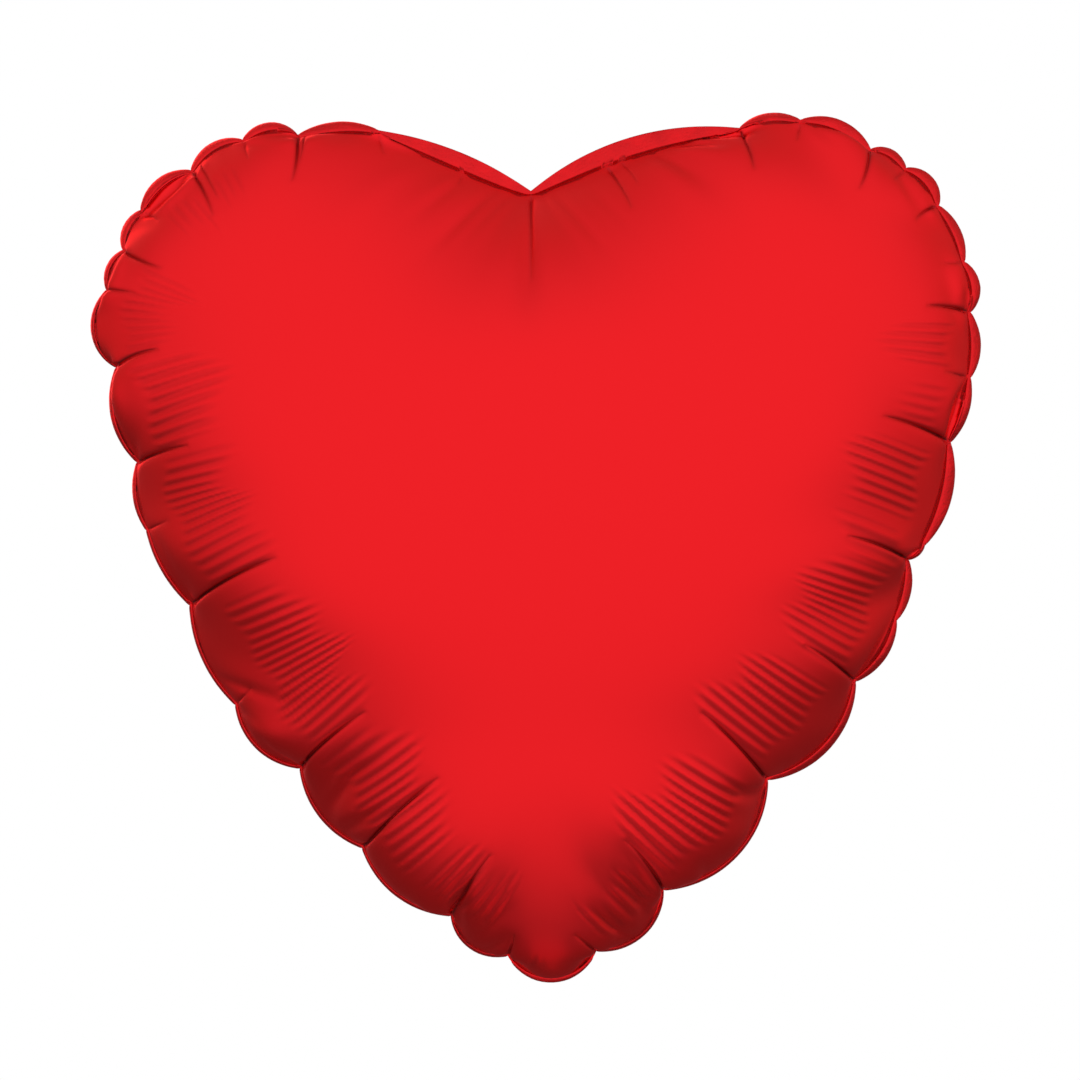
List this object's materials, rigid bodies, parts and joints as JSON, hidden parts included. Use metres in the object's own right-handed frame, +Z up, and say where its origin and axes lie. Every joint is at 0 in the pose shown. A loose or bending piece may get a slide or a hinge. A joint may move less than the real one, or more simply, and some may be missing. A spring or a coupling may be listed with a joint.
{
  "type": "heart foil balloon",
  "caption": "Inflated heart-shaped foil balloon: two sealed film panels with a puckered, scalloped edge, an inner self-sealing valve and a folded inflation tail.",
  "frame": {"origin": "the neck: the lowest point of the seam, in the seam plane, where the ribbon is tied", "axes": "+Z up from the neck to the two lobes, -Y out of the front panel, +Y out of the back panel where the tail is folded up, +X to the right as seen from the front"},
  "size_m": [0.3803, 0.1616, 0.3709],
  "materials": {
    "red_foil": "satin metallised film",
    "valve_film": "clear film"
  },
  "bodies": {
    "balloon": {"front_panel": "red_foil", "back_panel": "red_foil", "valve_front_film": "valve_film"},
    "valve_flap": {"valve_back_film": "valve_film"},
    "inflation_tail": {"tail_front_ply": "red_foil", "tail_back_ply": "red_foil", "valve_inlet_film": "valve_film"}
  },
  "joints": [
    {"name": "tail_fold", "type": "hinge", "parent": "balloon", "child": "inflation_tail", "pos_m": [0.002, 0.0028, 0.003], "axis": [-1, 0, 0], "range_deg": [0, 147]},
    {"name": "valve_flap", "type": "hinge", "parent": "balloon", "child": "valve_flap", "pos_m": [0.002, 0.00013, 0.017], "axis": [-1, 0, 0], "range_deg": [0, 4], "stiffness_Nm_per_rad": 0.0002}
  ]
}
